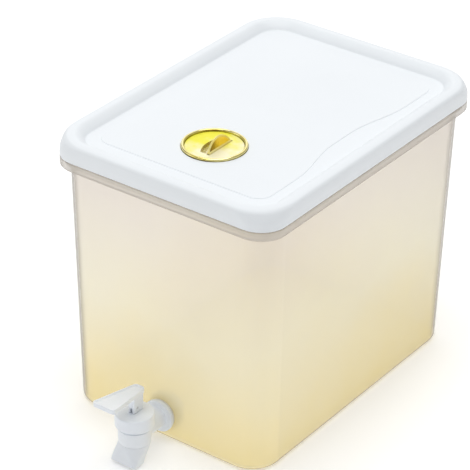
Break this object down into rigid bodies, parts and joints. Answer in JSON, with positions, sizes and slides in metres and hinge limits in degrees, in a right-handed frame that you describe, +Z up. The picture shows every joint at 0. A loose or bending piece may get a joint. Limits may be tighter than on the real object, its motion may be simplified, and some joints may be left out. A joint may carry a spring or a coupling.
{
  "type": "beverage dispenser with tap",
  "caption": "Rectangular clear tub for cold drinks with a white lift-off lid, a gold air vent with a thumb tab, and a lever tap low on its front wall.",
  "frame": {"origin": "centre of the tub's flat underside", "axes": "+Z up, the tap and the vent towards -Y, +X to the right when the tap is looked at from behind the tub"},
  "size_m": [0.2, 0.3378, 0.2316],
  "materials": {
    "clear_plastic": "clear moulded",
    "white_lid": "smooth gloss",
    "white_tap": "smooth",
    "gold": "gold plated, polished",
    "silicone": "milky silicone",
    "steel": "drawn wire"
  },
  "bodies": {
    "tub": {"tub": "clear_plastic", "tap_body": "white_tap", "tap_bonnet": "white_tap", "tap_bonnet_seal": "silicone", "tap_spout": "white_tap", "tap_outer_gasket": "silicone", "tap_inner_gasket": "silicone", "tap_nut": "white_tap", "tap_spring": "steel"},
    "lid": {"lid": "white_lid", "lid_seal": "silicone", "vent_bezel": "gold", "vent_body": "gold", "vent_gasket": "silicone", "vent_nut": "white_tap", "vent_tab_pin": "steel"},
    "vent_tab": {"vent_tab": "gold", "vent_plug": "silicone"},
    "stem": {"tap_stem": "white_tap", "tap_plug": "silicone"},
    "lever": {"tap_lever": "white_tap", "tap_lever_pin": "steel"}
  },
  "joints": [
    {"name": "lid_lift", "type": "slide", "parent": "tub", "child": "lid", "axis": [0, 0, 1], "range_m": [0, 0.25]},
    {"name": "tab_turn", "type": "hinge", "parent": "lid", "child": "vent_tab", "pos_m": [0.0043, -0.067, 0.22211], "axis": [0, 1, 0], "range_deg": [-79, 11]},
    {"name": "stem_lift", "type": "slide", "parent": "tub", "child": "stem", "axis": [0, 0, 1], "range_m": [0, 0.00156], "deforming": ["tap_spring"]},
    {"name": "lever_tip", "type": "hinge", "parent": "stem", "child": "lever", "pos_m": [0, -0.162, 0.0457], "axis": [1, 0, 0], "range_deg": [0, 28], "stiffness_Nm_per_rad": 0.12, "springref_deg": -28.65}
  ],
  "couplings": [
    {"joint": "lever_tip", "follows": "stem_lift", "rad_per_m": 312.5}
  ]
}
